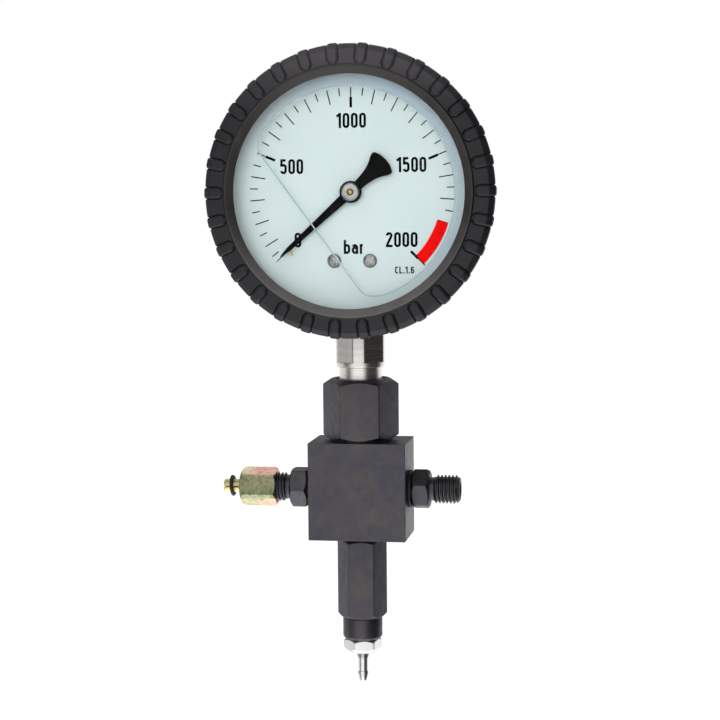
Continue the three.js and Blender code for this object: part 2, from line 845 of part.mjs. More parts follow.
// ---- Relief valve ----
function valveBody() {
  const hex = hexBar(valveAcross, valveTop, valveBottom, 8, 8.2, -5.5 + 180);
  const spigot = rod(5.9, -9, 1);
  const inlet = rod(1.4, -10, 6, 12);
  const chamber = rod(5.1, 4, valveBottom + 1, 18);
  return cut(join(hex, spigot), inlet, chamber);
}
addPart(valve, "relief_valve_body", valveBody(), "blackSteel");
addPart(valve, "valve_seat", washer(1.2, 4.8, 4.3, 7.3, 24), "stainless");

const poppet = turned(
  [
    [0, 6.4],
    [0.5, 6.4],
    [1.05, 7.4],
    [2.2, 8.6],
    [2.2, 10],
    [4.3, 10],
    [4.3, 11.4],
    [2.3, 11.4],
    [2.3, 15],
    [0, 15],
  ],
  16,
);
addPart(valve, "valve_poppet", poppet, "stainless");

const springFrom = 12.4;
const springTo = 24.4;
const springTurns = 6;

class SpringPath extends THREE.Curve {
  getPoint(t, target = new THREE.Vector3()) {
    const angle = 2 * Math.PI * springTurns * t;
    const depth = springFrom + (springTo - springFrom) * t;
    return target.set(3.4 * Math.cos(angle), 3.4 * Math.sin(angle), depth);
  }
}
addPart(valve, "valve_spring", swept(ellipse(0.6, 0.6, 6), new SpringPath(), 54), "spring");

const adjuster = cut(rod(4.7, 25.4, 32.4), rod(1.7, 24, 33, 6));
addPart(valve, "adjusting_screw", adjuster, "stainless");

const collar = turnedRing(
  [
    [1.6, 33],
    [4.7, 33],
    [4.7, valveBottom + 0.15],
    [collarRadius, valveBottom + 0.15],
    [collarRadius, collarBottom - 1.2],
    [collarRadius - 0.8, collarBottom],
    [5.2, collarBottom],
    [5.2, collarBottom - 1.2],
    [3.6, collarBottom - 1.2],
    [3.6, 36],
    [1.6, 36],
  ],
  20,
);
addPart(valve, "valve_collar", collar, "blackSteel");

const sealRing = new THREE.TorusGeometry(4.4, 0.5, 5, 16).translate(0, 0, collarBottom - 0.6);
addPart(valve, "nozzle_seal", sealRing, "blackSeal");

function outletNozzle() {
  const hexTop = collarBottom + 0.15;
  const hex = hexBar(nozzleAcross, hexTop, nozzleHexBottom, 7.1, 5.5, 180 - 13.6);
  const barb = turned(
    [
      [0, 36.4],
      [3.3, 36.4],
      [3.3, hexTop + 1],
      [2.45, hexTop + 2],
      [2.45, nozzleHexBottom],
      [1.97, nozzleHexBottom + 3],
      [1.97, 57.0],
      [2.32, 57.4],
      [2.32, 57.7],
      [1.5, nozzleTip - 0.3],
      [1.2, nozzleTip],
      [0, nozzleTip],
    ],
    14,
  );
  return cut(join(hex, barb), rod(0.9, 36, nozzleTip + 1, 12));
}
addPart(valve, "outlet_nozzle", outletNozzle(), "zinc");

export default group;
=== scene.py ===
"""Looks of the high-pressure test gauge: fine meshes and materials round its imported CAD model.

Pieces are drawn in millimetres in the same working frames as the CAD part: the gauge (x right, y up,
z forward), the block's two side faces (z outward), its underside (z down) and the block itself.
"""

import json
import math

import bmesh
import bpy
from mathutils import Matrix, Vector


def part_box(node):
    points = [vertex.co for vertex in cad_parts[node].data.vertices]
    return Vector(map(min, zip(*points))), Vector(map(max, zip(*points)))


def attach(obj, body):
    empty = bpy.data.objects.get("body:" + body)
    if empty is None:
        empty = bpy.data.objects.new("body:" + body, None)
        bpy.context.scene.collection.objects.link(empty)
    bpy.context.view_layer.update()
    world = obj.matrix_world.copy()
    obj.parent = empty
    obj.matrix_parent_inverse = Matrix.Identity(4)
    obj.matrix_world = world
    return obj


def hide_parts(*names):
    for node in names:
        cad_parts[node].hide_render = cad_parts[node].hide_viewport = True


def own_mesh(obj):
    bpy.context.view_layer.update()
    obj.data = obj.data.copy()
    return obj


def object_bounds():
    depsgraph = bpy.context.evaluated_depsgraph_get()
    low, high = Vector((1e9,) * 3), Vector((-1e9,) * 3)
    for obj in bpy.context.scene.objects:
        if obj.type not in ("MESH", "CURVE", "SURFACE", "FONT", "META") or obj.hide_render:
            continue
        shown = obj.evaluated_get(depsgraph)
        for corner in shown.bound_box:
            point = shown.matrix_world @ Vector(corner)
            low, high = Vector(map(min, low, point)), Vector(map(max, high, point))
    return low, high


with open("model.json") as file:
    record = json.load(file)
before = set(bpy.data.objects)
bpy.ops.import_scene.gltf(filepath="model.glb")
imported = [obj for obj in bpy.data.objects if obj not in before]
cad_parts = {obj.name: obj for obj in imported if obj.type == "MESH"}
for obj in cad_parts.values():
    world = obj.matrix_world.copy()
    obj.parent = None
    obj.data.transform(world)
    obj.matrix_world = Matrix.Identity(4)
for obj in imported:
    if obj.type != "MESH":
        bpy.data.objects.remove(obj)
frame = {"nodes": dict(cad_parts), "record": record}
cad_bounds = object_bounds()

MM = 0.001
# The filling liquid's edge: a circle cut off by a chord, shifted a little to the left and down.
EDGE_RADIUS, EDGE_CHORD, EDGE_FACING, EDGE_SHIFT = 42.3, 19.15, 216.3, (-0.5, -0.6)


def middle(node):
    low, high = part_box(node)
    return (low + high) / 2


# ---- Working frames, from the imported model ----
def frame_at(origin, x_axis, y_axis, z_axis):
    turn = Matrix((x_axis, y_axis, z_axis)).transposed().to_4x4()
    return Matrix.Translation(origin) @ turn @ Matrix.Scale(MM, 4)


block_low, block_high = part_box("manifold_block")
block_centre = (block_low + block_high) / 2
stem_axis_x = block_centre.x
gauge_axis_z = middle("dial_plate").z
UP = frame_at(block_centre, (1, 0, 0), (0, 1, 0), (0, 0, 1))
GAUGE = frame_at((stem_axis_x, 0, gauge_axis_z), (1, 0, 0), (0, 0, 1), (0, -1, 0))
RIGHT = frame_at((block_high.x, 0, block_centre.z), (0, 0, -1), (0, 1, 0), (1, 0, 0))
LEFT = frame_at((block_low.x, 0, block_centre.z), (0, 0, 1), (0, 1, 0), (-1, 0, 0))
DOWN = frame_at((stem_axis_x, 0, block_low.z), (1, 0, 0), (0, -1, 0), (0, 0, -1))


# ---- Materials ----
class Nodes:
    """A material's node tree with short calls for the few nodes used here."""

    def __init__(self, name):
        self.material = bpy.data.materials.new(name)
        self.material.use_nodes = True
        self.tree = self.material.node_tree
        self.shader = self.tree.nodes["Principled BSDF"]
        self.place = self.tree.nodes.new("ShaderNodeTexCoord").outputs["Object"]

    def add(self, kind, output, inputs, **settings):
        """A new node's output; each input is given a value or a link."""
        node = self.tree.nodes.new(kind)
        for key, value in settings.items():
            setattr(node, key, value)
        for key, value in inputs.items():
            self.feed(node.inputs[key], value)
        return node.outputs[output]

    def feed(self, socket, value):
        if hasattr(value, "is_output"):
            self.tree.links.new(value, socket)
        else:
            socket.default_value = value

    def stretched(self, scale):
        return self.add("ShaderNodeMapping", "Vector", {"Scale": scale, "Vector": self.place})

    def noise(self, scale, detail=4.0, vector=None):
        inputs = {"Scale": scale, "Detail": detail, "Vector": vector or self.place}
        return self.add("ShaderNodeTexNoise", "Fac", inputs)

    def ramp(self, factor, *stops):
        node = self.tree.nodes.new("ShaderNodeValToRGB")
        while len(node.color_ramp.elements) < len(stops):
            node.color_ramp.elements.new(0.5)
        for element, (position, colour) in zip(node.color_ramp.elements, stops):
            element.position = position
            element.color = (*colour, 1)
        self.feed(node.inputs["Fac"], factor)
        return node.outputs["Color"]

    def spread(self, factor, low, high):
        inputs = {"From Min": 0.3, "From Max": 0.7, "To Min": low, "To Max": high, "Value": factor}
        return self.add("ShaderNodeMapRange", "Result", inputs)

    def stepped(self, value, limit, width=0.0005):
        inputs = {"From Min": limit - width, "From Max": limit + width, "Value": value}
        return self.add("ShaderNodeMapRange", "Result", inputs, interpolation_type="SMOOTHSTEP")

    def maths(self, operation, *values):
        return self.add("ShaderNodeMath", "Value", dict(enumerate(values)), operation=operation)

    def vector_maths(self, operation, *values, output="Vector"):
        return self.add("ShaderNodeVectorMath", output, dict(enumerate(values)), operation=operation)

    def mixed(self, share, a, b, kind="MIX"):
        inputs = {"Factor": share, "A": a, "B": b}
        return self.add("ShaderNodeMix", "Result", inputs, data_type="RGBA", blend_type=kind)

    def axis(self, name, vector=None):
        return self.add("ShaderNodeSeparateXYZ", name, {0: vector or self.place})

    def from_gauge(self, x=0, y=0):
        """The place measured from the gauge's axis, or from (x, y) millimetres beside it."""
        origin = (stem_axis_x + x * MM, 0, gauge_axis_z + y * MM)
        return self.vector_maths("SUBTRACT", self.place, origin)

    def flattened(self, vector):
        """The vector without its depth, and its length."""
        flat = self.vector_maths("MULTIPLY", vector, (1, 0, 1))
        return flat, self.vector_maths("LENGTH", flat, output="Value")

    def colour(self, value):
        self.feed(self.shader.inputs["Base Color"], value)

    def rough(self, noise, low, high):
        self.feed(self.shader.inputs["Roughness"], self.spread(noise, low, high))

    def bump(self, height, depth):
        inputs = {"Distance": depth, "Strength": 1.0, "Height": height}
        self.feed(self.shader.inputs["Normal"], self.add("ShaderNodeBump", "Normal", inputs))

    def set(self, **values):
        for name, value in values.items():
            self.shader.inputs[name.replace("_", " ")].default_value = value
        return self.material


def plain_finish(name, scale, dark, light, rough=None, grain=None, **values):
    """One colour with soft clouds; rough is (scale, low, high) and grain is (scale, depth)."""
    m = Nodes(name)
    m.colour(m.ramp(m.noise(scale), (0.3, dark), (0.7, light)))
    if rough:
        m.rough(m.noise(rough[0]), *rough[1:])
    if grain:
        m.bump(m.noise(grain[0]), grain[1])
    return m.set(**values)


def rubber_finish():
    """Painted light: the upper ribs and the lower half of the lip are painted lighter, as if lit from
    above.
    """
    m = Nodes("moulded_rubber")
    cloud = m.noise(160.0)

    def tone(dark, light):
        return m.ramp(cloud, (0.35, dark), (0.68, light))

    offset = m.from_gauge()
    height = m.axis("Z", offset)
    # Painted light: the lighter tones of the upper ribs and of the lower half of the lip stand for light
    # from above.
    base_ribs = tone((0.0110, 0.0095, 0.0130), (0.0165, 0.0145, 0.0190))
    lit_ribs = tone((0.054, 0.050, 0.057), (0.068, 0.063, 0.071))
    lip = tone((0.030, 0.0255, 0.0245), (0.040, 0.0345, 0.033))
    lit_lip = tone((0.108, 0.103, 0.101), (0.132, 0.126, 0.123))
    upper_ribs, lower_lip, lip_radius = 0.044, -0.026, 0.0493
    ribs = m.mixed(m.stepped(height, upper_ribs, 0.014), base_ribs, lit_ribs)
    lip = m.mixed(m.stepped(height, lower_lip, 0.022), lit_lip, lip)
    m.colour(m.mixed(m.stepped(m.flattened(offset)[1], lip_radius, 0.0001), lip, ribs))
    m.rough(cloud, 0.42, 0.54)
    m.bump(m.noise(1800.0, 3.0), 0.00002)
    return m.set(Specular_IOR_Level=0.45)


def black_steel_finish():
    m = Nodes("blackened_steel")
    m.colour(m.ramp(m.noise(110.0, 6.0), (0.32, (0.090, 0.085, 0.108)), (0.5, (0.101, 0.095, 0.107)),
                    (0.7, (0.117, 0.110, 0.106))))
    m.rough(m.noise(420.0, 5.0), 0.34, 0.5)
    m.bump(m.noise(2600.0, 2.0), 0.000012)
    return m.set(Metallic=0.85, Specular_IOR_Level=0.5)


def nickel_finish():
    m = Nodes("nickel_plate")
    streaks = m.noise(30.0, 6.0, m.stretched((1.0, 1.0, 14.0)))
    m.colour(m.ramp(streaks, (0.3, (0.86, 0.82, 0.78)), (0.7, (0.95, 0.92, 0.88))))
    m.rough(m.noise(60.0, 6.0, m.stretched((1.0, 1.0, 20.0))), 0.2, 0.34)
    m.bump(m.noise(90.0, 4.0, m.stretched((1.0, 1.0, 20.0))), 0.000003)
    return m.set(Metallic=1.0)


def stainless_finish():
    m = Nodes("stainless_steel")
    m.colour(m.ramp(m.noise(220.0), (0.3, (0.20, 0.20, 0.195)), (0.7, (0.32, 0.315, 0.305))))
    m.rough(m.noise(60.0, 6.0, m.stretched((1.0, 1.0, 25.0))), 0.28, 0.42)
    return m.set(Metallic=1.0)


def glass_finish():
    m = Nodes("clear_window")
    m.rough(m.noise(15.0), 0.0, 0.02)
    return m.set(Base_Color=(0.97, 1.0, 1.0, 1), IOR=1.3, Transmission_Weight=1.0,
                 Specular_Tint=(0.05, 0.05, 0.05, 1))


def dial_finish():
    """White enamel; outside the filling liquid's edge it is painted bluer and darker towards the upper
    right, as painted shade.
    """
    m = Nodes("enamelled_dial")
    enamel = m.ramp(m.noise(28.0, 2.0), (0.3, (0.58, 0.655, 0.665)), (0.7, (0.61, 0.68, 0.68)))
    shaded = m.ramp(m.noise(40.0, 2.0), (0.3, (0.44, 0.54, 0.62)), (0.7, (0.50, 0.58, 0.63)))
    flat, reach = m.flattened(m.from_gauge(*EDGE_SHIFT))
    slope = math.radians(40)
    along = m.vector_maths("DOT_PRODUCT", flat, (math.cos(slope), 0, math.sin(slope)), output="Value")
    beyond_rim = m.stepped(reach, EDGE_RADIUS * MM)
    upper_right = m.stepped(along, 0.004, 0.034)
    m.colour(m.mixed(m.maths("MULTIPLY", beyond_rim, upper_right), enamel, shaded))
    return m.set(Roughness=0.6, Specular_IOR_Level=0.08)


def chromate_finish():
    """Iridescent yellow chromate: olive clouds, pink patches and dark flecks; the upper and lower flats are
    painted paler straw and the top flat brighter still, as painted light.
    """
    m = Nodes("yellow_chromate")
    olive = m.ramp(m.noise(170.0, 3.0, m.stretched((0.7, 1.0, 1.0))), (0.34, (0.31, 0.35, 0.20)),
                   (0.50, (0.42, 0.42, 0.25)), (0.64, (0.52, 0.48, 0.29)))
    flecks = m.ramp(m.noise(750.0, 3.0), (0.36, (0.45, 0.5, 0.42)), (0.55, (1.0, 1.0, 1.0)))
    facing_lit_straw, lit_top_straw, pink = (0.60, 0.54, 0.34, 1), (0.92, 0.86, 0.54, 1), (0.95, 0.54, 0.45, 1)
    side_from, top_from, pink_from = 0.0050, 0.0056, block_low.x - 0.0178
    level = m.maths("SUBTRACT", m.axis("Z"), block_centre.z + 0.0005)
    on_side = m.stepped(m.maths("ABSOLUTE", level), side_from, 0.0006)
    # Pink patches stand towards the threaded end of the upper and lower flats.
    leaning = m.maths("MULTIPLY_ADD", level, 0.5, m.axis("X"))
    across = m.maths("MULTIPLY_ADD", m.noise(110.0, 2.0), 0.009, leaning)
    pink_share = m.maths("MULTIPLY", on_side, m.stepped(across, pink_from, 0.0028))
    # Painted light by facing: the upper and lower flats take paler straw, the top flat brighter straw.
    base = m.mixed(on_side, olive, facing_lit_straw)
    base = m.mixed(m.stepped(level, top_from, 0.0006), base, lit_top_straw)
    base = m.mixed(pink_share, base, pink)
    m.colour(m.mixed(0.65, base, flecks, "MULTIPLY"))
    m.rough(m.noise(500.0, 4.0), 0.26, 0.36)
    m.bump(m.noise(1500.0), 0.000003)
    return m.set(Metallic=0.9)


def zinc_finish():
    """Bright zinc, with painted shade on the nozzle's neck where it leaves its nut."""
    m = Nodes("bright_zinc")
    bright = m.ramp(m.noise(240.0), (0.3, (0.88, 0.885, 0.87)), (0.7, (0.97, 0.975, 0.96)))
    height = m.axis("Z")
    neck_end = m.stepped(height, block_low.z - 0.0508, 0.0012)
    neck_start = m.stepped(height, block_low.z - 0.0480, 0.0002)
    # Painted shade: the neck just under the nut is darkened.
    neck_shade = (0.42, 0.43, 0.42, 1)
    m.colour(m.mixed(m.maths("SUBTRACT", neck_end, neck_start), bright, neck_shade))
    m.rough(m.noise(500.0), 0.12, 0.2)
    return m.set(Metallic=0.95)


finishes = {
    "rubber": rubber_finish(),
    "black_steel": black_steel_finish(),
    "black_seal": plain_finish("seal_rubber", 300.0, (0.012, 0.011, 0.011), (0.02, 0.018, 0.017),
                               grain=(2500.0, 0.00001), Roughness=0.5),
    "nickel": nickel_finish(),
    "stainless": stainless_finish(),
    "glass": glass_finish(),
    "dial": dial_finish(),
    "pointer": plain_finish("matt_black_paint", 400.0, (0.002, 0.002, 0.002), (0.004, 0.004, 0.004),
                            (150.0, 0.5, 0.6), Specular_IOR_Level=0.03),
    "brass": plain_finish("plain_brass", 200.0, (0.50, 0.34, 0.12), (0.64, 0.46, 0.18),
                          (500.0, 0.25, 0.4), Metallic=1.0),
    "chromate": chromate_finish(),
    "gold": plain_finish("bright_yellow_passivate", 260.0, (0.92, 0.80, 0.42), (0.97, 0.90, 0.54),
                         (700.0, 0.44, 0.54), Metallic=1.0),
    "zinc": zinc_finish(),
    "spring": plain_finish("spring_steel", 300.0, (0.30, 0.30, 0.31), (0.45, 0.45, 0.46),
                           Metallic=1.0, Roughness=0.3),
}
red_ink = plain_finish("red_zone_ink", 120.0, (0.84, 0.0, 0.0), (0.93, 0.001, 0.001),
                       Roughness=0.6, Specular_IOR_Level=0.05)
liquid_edge = plain_finish("liquid_edge", 80.0, (0.33, 0.42, 0.46), (0.44, 0.53, 0.57),
                           Roughness=0.2, Alpha=0.75)

for subpart in frame["record"]["subparts"]:
    node = frame["nodes"][subpart["node"]]
    node.data.materials.clear()
    node.data.materials.append(finishes[subpart["material_slot"]])
# The clear window lets the light through to the dial.
frame["nodes"]["window_lens"].visible_shadow = False


# ---- Shapes: each returns (points, faces) in millimetres ----
def polar(radius, degrees):
    return radius * math.cos(math.radians(degrees)), radius * math.sin(math.radians(degrees))


def eased(points, radius, steps=3, closed=False):
    """An outline whose corners are rounded over the given length on each side."""
    most_of_side = 0.45
    count = len(points)
    out = []
    for i, here in enumerate(points):
        if not closed and i in (0, count - 1):
            out.append(tuple(here))
            continue
        here = Vector(here)
        before, after = Vector(points[i - 1]) - here, Vector(points[(i + 1) % count]) - here
        a = here + before.normalized() * min(radius, before.length * most_of_side)
        b = here + after.normalized() * min(radius, after.length * most_of_side)
        for k in range(steps + 1):
            t = k / steps
            out.append(tuple(a * (1 - t) ** 2 + here * (2 * t * (1 - t)) + b * t * t))
    return out


def grid(columns, ring=False):
    """A skin over columns of points that stand side by side round an axis."""
    rows = len(columns[0])
    points = [p for column in columns for p in column]
    faces = []
    for c in range(len(columns)):
        d = (c + 1) % len(columns)
        for r in range(rows if ring else rows - 1):
            s = (r + 1) % rows
            faces.append((c * rows + r, d * rows + r, d * rows + s, c * rows + s))
    return points, faces


def around(outline, profile_of, ease=0.12, steps=3, ring=False):
    """Columns of (radius, height) profiles; outline lists (angle in degrees, radius there)."""
    columns = []
    for angle, radius in outline:
        c, s = polar(1, angle)
        profile = eased(profile_of(radius), ease, steps, closed=ring)
        columns.append([(r * c, r * s, z) for r, z in profile])
    return grid(columns, ring)


def circle(steps=96, start=0.0):
    return [(start + 360 * i / steps, 1.0) for i in range(steps)]


def turned(profile, ease=0.12, steps=96, ring=False):
    return around(circle(steps), lambda _: profile, ease, ring=ring)


def polygon(sides, across, facing, corner, flat_steps=10, corner_steps=4):
    """Outline of a bar with flats and softened corners; facing is the angle of one flat's normal."""
    half_turn = 180 / sides
    reach = (across / 2 - corner) / math.cos(math.radians(half_turn))
    points = []
    for k in range(sides):
        middle_angle = facing + half_turn * (2 * k + 1)
        centre = Vector(polar(1, middle_angle)) * reach
        for j in range(corner_steps + 1):
            angle = middle_angle - half_turn + 2 * half_turn * j / corner_steps
            points.append(centre + Vector(polar(1, angle)) * corner)
    filled = []
    for i, here in enumerate(points):
        after = points[(i + 1) % len(points)]
        parts = flat_steps if (i + 1) % (corner_steps + 1) == 0 else 1
        filled += [here.lerp(after, j / parts) for j in range(parts)]
    return [(math.degrees(math.atan2(p.y, p.x)), p.length) for p in filled]


def limited(outline, radius):
    """The outline turned down to a largest radius."""
    return [(angle, min(r, radius)) for angle, r in outline]


def threaded(start, end, crest, root, pitch, tip_radius, tail, lead=0.0, steps=72):
    """A right-hand screw along z from start to end, coned at its end, closed by the tail profile."""
    # One tooth, as (share of the pitch, radius), and how fast teeth fade towards the two ends.
    tooth = [(0.0, root), (0.10, root), (0.42, crest), (0.56, crest), (0.90, root)]
    start_slope, end_slope = 1.4, 1.1
    turns = int((end - start) / pitch) + 3
    columns = []
    for i in range(steps + 1):
        share = i / steps
        c, s = math.cos(2 * math.pi * share), math.sin(2 * math.pi * share)
        profile = [(0.0, start), (root - 0.05, start)]
        for k in range(-1, turns):
            for along, radius in tooth:
                z = start + pitch * (k + along + share) + lead
                inside = min(max(z, start), end)
                if z != inside:
                    radius = root
                radius = min(radius, tip_radius + end_slope * (end - inside),
                             root + start_slope * (inside - start))
                profile.append((radius, inside))
        profile += tail
        columns.append([(r * c, r * s, z) for r, z in profile])
    points, faces = grid(columns)
    rows = len(columns[0])
    return points, faces[: steps * (rows - 1)]


def together(*shapes):
    points, faces = [], []
    for some_points, some_faces in shapes:
        shift = len(points)
        points += some_points
        faces += [tuple(i + shift for i in face) for face in some_faces]
    return points, faces


def moved(shape, matrix):
    points, faces = shape
    return [tuple(matrix @ Vector(p)) for p in points], faces


def brick(x0, x1, y0, y1, z0, z1):
    """A plain cutter."""
    points = [(x, y, z) for x in (x0, x1) for y in (y0, y1) for z in (z0, z1)]
    faces = [(0, 1, 3, 2), (4, 6, 7, 5), (0, 4, 5, 1), (2, 3, 7, 6), (0, 2, 6, 4), (1, 5, 7, 3)]
    return points, faces


def slab(outline, back, front):
    """A flat plate with this outline of (x, y) points, between two heights."""
    count = len(outline)
    points = [(x, y, z) for z in (back, front) for x, y in outline]
    faces = [tuple(range(count))[::-1], tuple(range(count, 2 * count))]
    for i in range(count):
        j = (i + 1) % count
        faces.append((i, j, j + count, i + count))
    return points, faces


def mesh_of(name, shape, place):
    points, faces = shape
    mesh = bpy.data.meshes.new(name)
    mesh.from_pydata(points, [], faces)
    work = bmesh.new()
    work.from_mesh(mesh)
    bmesh.ops.remove_doubles(work, verts=work.verts, dist=0.001)
    bmesh.ops.dissolve_degenerate(work, edges=work.edges, dist=0.0005)
    bmesh.ops.recalc_face_normals(work, faces=work.faces)
    work.to_mesh(mesh)
    work.free()
    mesh.transform(place)
    return mesh


def carved(mesh, cutters, place):
    """The mesh with the cutters' shapes taken out of it."""
    base = bpy.data.objects.new("base", mesh)
    bpy.context.scene.collection.objects.link(base)
    tools = []
    for shape in cutters:
        tool = bpy.data.objects.new("tool", mesh_of("tool", shape, place))
        bpy.context.scene.collection.objects.link(tool)
        modifier = base.modifiers.new("cut", "BOOLEAN")
        modifier.operation = "DIFFERENCE"
        modifier.solver = "EXACT"
        modifier.object = tool
        tools.append(tool)
    graph = bpy.context.evaluated_depsgraph_get()
    result = bpy.data.meshes.new_from_object(base.evaluated_get(graph))
    for used in [base, *tools]:
        bpy.data.objects.remove(used)
    return result


def piece(name, shape, place, slot, body="root", replaces=(), cutters=(), material=None, sharp=32.0):
    mesh = mesh_of(name, shape, place)
    if cutters:
        mesh = carved(mesh, cutters, place)
        mesh.name = name
    mesh.materials.clear()
    mesh.materials.append(material or finishes[slot])
    mesh.shade_smooth()
    mesh.set_sharp_from_angle(angle=math.radians(sharp))
    made = bpy.data.objects.new(name, mesh)
    bpy.context.scene.collection.objects.link(made)
    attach(made, body)
    if replaces:
        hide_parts(*replaces)
    return made


# ---- Manifold block ----
def block():
    half_w, half_d = 20.0, 13.5
    corner = 0.5
    outline = eased([(half_w, -half_w), (half_w, half_w), (-half_w, half_w), (-half_w, -half_w)],
                    corner, 4, closed=True)
    columns = []
    for x, z in outline:
        inset = Vector((x, z)) * (1 - corner / half_w)
        edge = [(inset.x, -half_d, inset.y), (x, -half_d, z), (x, half_d, z), (inset.x, half_d, inset.y)]
        columns.append([(0, -half_d, 0), *eased(edge, corner, 4), (0, half_d, 0)])
    port = turned([(0, 17), (9.1, 17), (9.1, 19.6), (9.6, 20.4), (0, 20.4)], 0.05)
    return grid(columns), [port]


block_shape, block_cuts = block()
piece("block", block_shape, UP, "black_steel", replaces=["manifold_block"], cutters=block_cuts)


# ---- Gauge coupling ----
SLOPE = 0.65


def hex_profile(bottom, top, face_low, face_high, slope_low=SLOPE, slope_high=SLOPE):
    """Chamfered hexagon bar: the profile under the outline's radius."""

    def profile(radius):
        low = bottom + slope_low * max(0, radius - face_low)
        high = top - slope_high * max(0, radius - face_high)
        return [(0, bottom), (min(face_low, radius), bottom), (radius, low), (radius, high),
                (min(face_high, radius), top), (0, top)]

    return profile


def coupling():
    def profile(radius):
        rows = hex_profile(20.9, 45.5, 13.3, 11.9)(radius)
        return rows[:-1] + [(10.75, 45.5), (10.35, 45.0), (10.35, 38), (0, 38)]

    bar = around(polygon(6, 27, -83.5, 0.35), profile, 0.15)
    spigot = turned([(0, 17.2), (8.8, 17.2), (8.8, 21.5), (0, 21.5)])
    return together(bar, spigot)


piece("coupling", coupling(), UP, "black_steel", replaces=["gauge_coupling"])


# ---- Socket stem ----
def stem():
    neck, full, shoulder = 8.7, 9.9, 52.3
    turn = -90 + 4.9 + 45
    outline = limited(polygon(4, 17, turn, 0.05, flat_steps=24), full)
    extra = []
    for k in range(4):
        for j in range(-6, 7):
            extra.append((turn + 45 + 90 * k + j * 2.1, full))
    merged = sorted({round(a % 360, 3): r for a, r in [*outline, *extra] if r > 0}.items())

    def profile(radius):
        return [(0, 39), (10.1, 39), (10.1, 44.3), (neck, 45.1), (neck, 50.2), (9.75, 50.25),
                (full, 50.5), (full, shoulder), (min(radius, full), shoulder + 0.05),
                (min(radius, full), 72), (0, 72)]

    upper = slab(eased([(-12, -7), (12, -7), (12, 5), (-12, 5)], 1.5, closed=True), 71.5, 100)
    return together(around(merged, profile, 0.14), upper)


piece("stem", stem(), UP, "nickel", replaces=["socket_stem"])


# ---- Rubber boot ----
BOOT_TURN = -6.0
RIB_COUNT = 30


def boot():
    """Columns follow the ribs' sides; each surface point is lifted along the surface's normal."""
    rib_top, rib_foot, rib_height = 1.1, 2.05, 0.42
    groove, groove_width = 0.5, 0.6
    # Columns run parallel to a rib up to its flank, and share out the gap evenly beyond it.
    flank, gap, middle_radius = 3.3, 2.7, 56
    half_pitch = 180 / RIB_COUNT
    taper = 0.115
    widest, front_depth = 57.85, 29.0
    ribs_from_height, ribs_from_radius, ribs_to_height = 12, 49.6, 14.5
    # Rows of points: on the long side they crowd towards the ribs, near the ribs they stand close.
    side_rows, crowding, row_spacing = 34, 1.7, 0.35
    inner = [(50.7, -16.6), (43, -16.8), (43, -20)]
    side_back = (widest - taper * 45.5, -19.0)
    outer = [(side_back[0] - 2.2, -20), side_back]
    front = [(widest, 25.4), (57.5, 26.7), (55.5, 28.3), (49.75, front_depth), (49.45, 29.62),
             (48.9, 29.75), (46.0, 27.9), (46.0, 27.3)]
    seat = [(53.7, 27.3), (53.7, 18.6), (52.7, 18.6), (50.7, 17.0)]
    skeleton = inner + eased(outer + front, 0.22, 3)[1:] + seat
    # Finer rows on the outer surface, where the ribs stand.
    dense = [skeleton[0]]
    for a, b in zip(skeleton, skeleton[1:]):
        length = math.dist(a, b)
        on_ribs = min(a[1], b[1]) > ribs_from_height and min(a[0], b[0]) > ribs_from_radius
        long_side = length > 20
        parts = side_rows if long_side else max(1, round(length / row_spacing)) if on_ribs else 1
        for k in range(1, parts + 1):
            t = k / parts
            if long_side:
                t = 1 - (1 - t) ** crowding
            dense.append((a[0] + (b[0] - a[0]) * t, a[1] + (b[1] - a[1]) * t))
    rows = dense[:-1] if math.dist(dense[0], dense[-1]) < 1e-6 else dense
    count = len(rows)
    # Distance along the outer surface from the step beside the lip, and the normal of each row.
    step = min(range(count), key=lambda i: math.dist(rows[i], (49.75, front_depth)))
    along = [0.0] * count
    for i in range(step - 1, -1, -1):
        along[i] = along[i + 1] + math.dist(rows[i], rows[i + 1])
    normals = []
    for i in range(count):
        a, b = Vector(rows[i - 1]), Vector(rows[(i + 1) % count])
        d = (b - a).normalized()
        normals.append(Vector((d.y, -d.x)))
    step_gap, outer_skin, fade_length = 0.45, 49, 0.4
    first = step_gap + rib_foot
    last = next(along[i] for i in range(count) if rows[i][1] > ribs_to_height and rows[i][0] > 50)
    last -= rib_foot

    offsets = [0, 0.6, rib_top, 1.35, 1.6, 1.85, rib_foot, 2.15, 2.25, 2.35, 2.45, 2.55,
               rib_foot + groove_width, flank, 4.1, 5.1]
    offsets = [-o for o in offsets[:0:-1]] + offsets

    def lift(offset, distance):
        if distance <= 0:
            return 0.0
        beyond = max(first - distance, distance - last, 0)
        reach = math.hypot(offset, beyond)
        t = min(1, max(0, (rib_foot - reach) / (rib_foot - rib_top)))
        rise = rib_height * math.sin(t * math.pi / 2) if t > 0 else 0
        near = abs(reach - rib_foot - groove_width / 2) / (groove_width / 2)
        fade = min(1, distance / fade_length)
        dip = groove * math.cos(near * math.pi / 2) if near < 1 else 0
        return (rise - dip) * fade

    def beyond_flank(offset, radius):
        edge = math.degrees(math.asin(flank / radius))
        return math.copysign(edge + (abs(offset) - flank) / gap * (half_pitch - edge), offset)

    columns = []
    for rib in range(RIB_COUNT):
        middle_angle = BOOT_TURN + half_pitch * (1 + 2 * rib)
        for offset in offsets:
            column = []
            for i, (r, z) in enumerate(rows):
                on_surface = 0 < i <= step and r > outer_skin
                height = lift(offset, along[i]) if on_surface else 0.0
                if abs(offset) > flank:
                    share = beyond_flank(offset, r if on_surface else middle_radius)
                elif on_surface:
                    share = math.degrees(math.asin(offset / r))
                else:
                    share = math.degrees(math.atan2(offset, middle_radius))
                lifted = Vector((r, z)) + normals[i] * height
                column.append((*polar(lifted.x, middle_angle + share), lifted.y))
            columns.append(column)
    return grid(columns, ring=True)


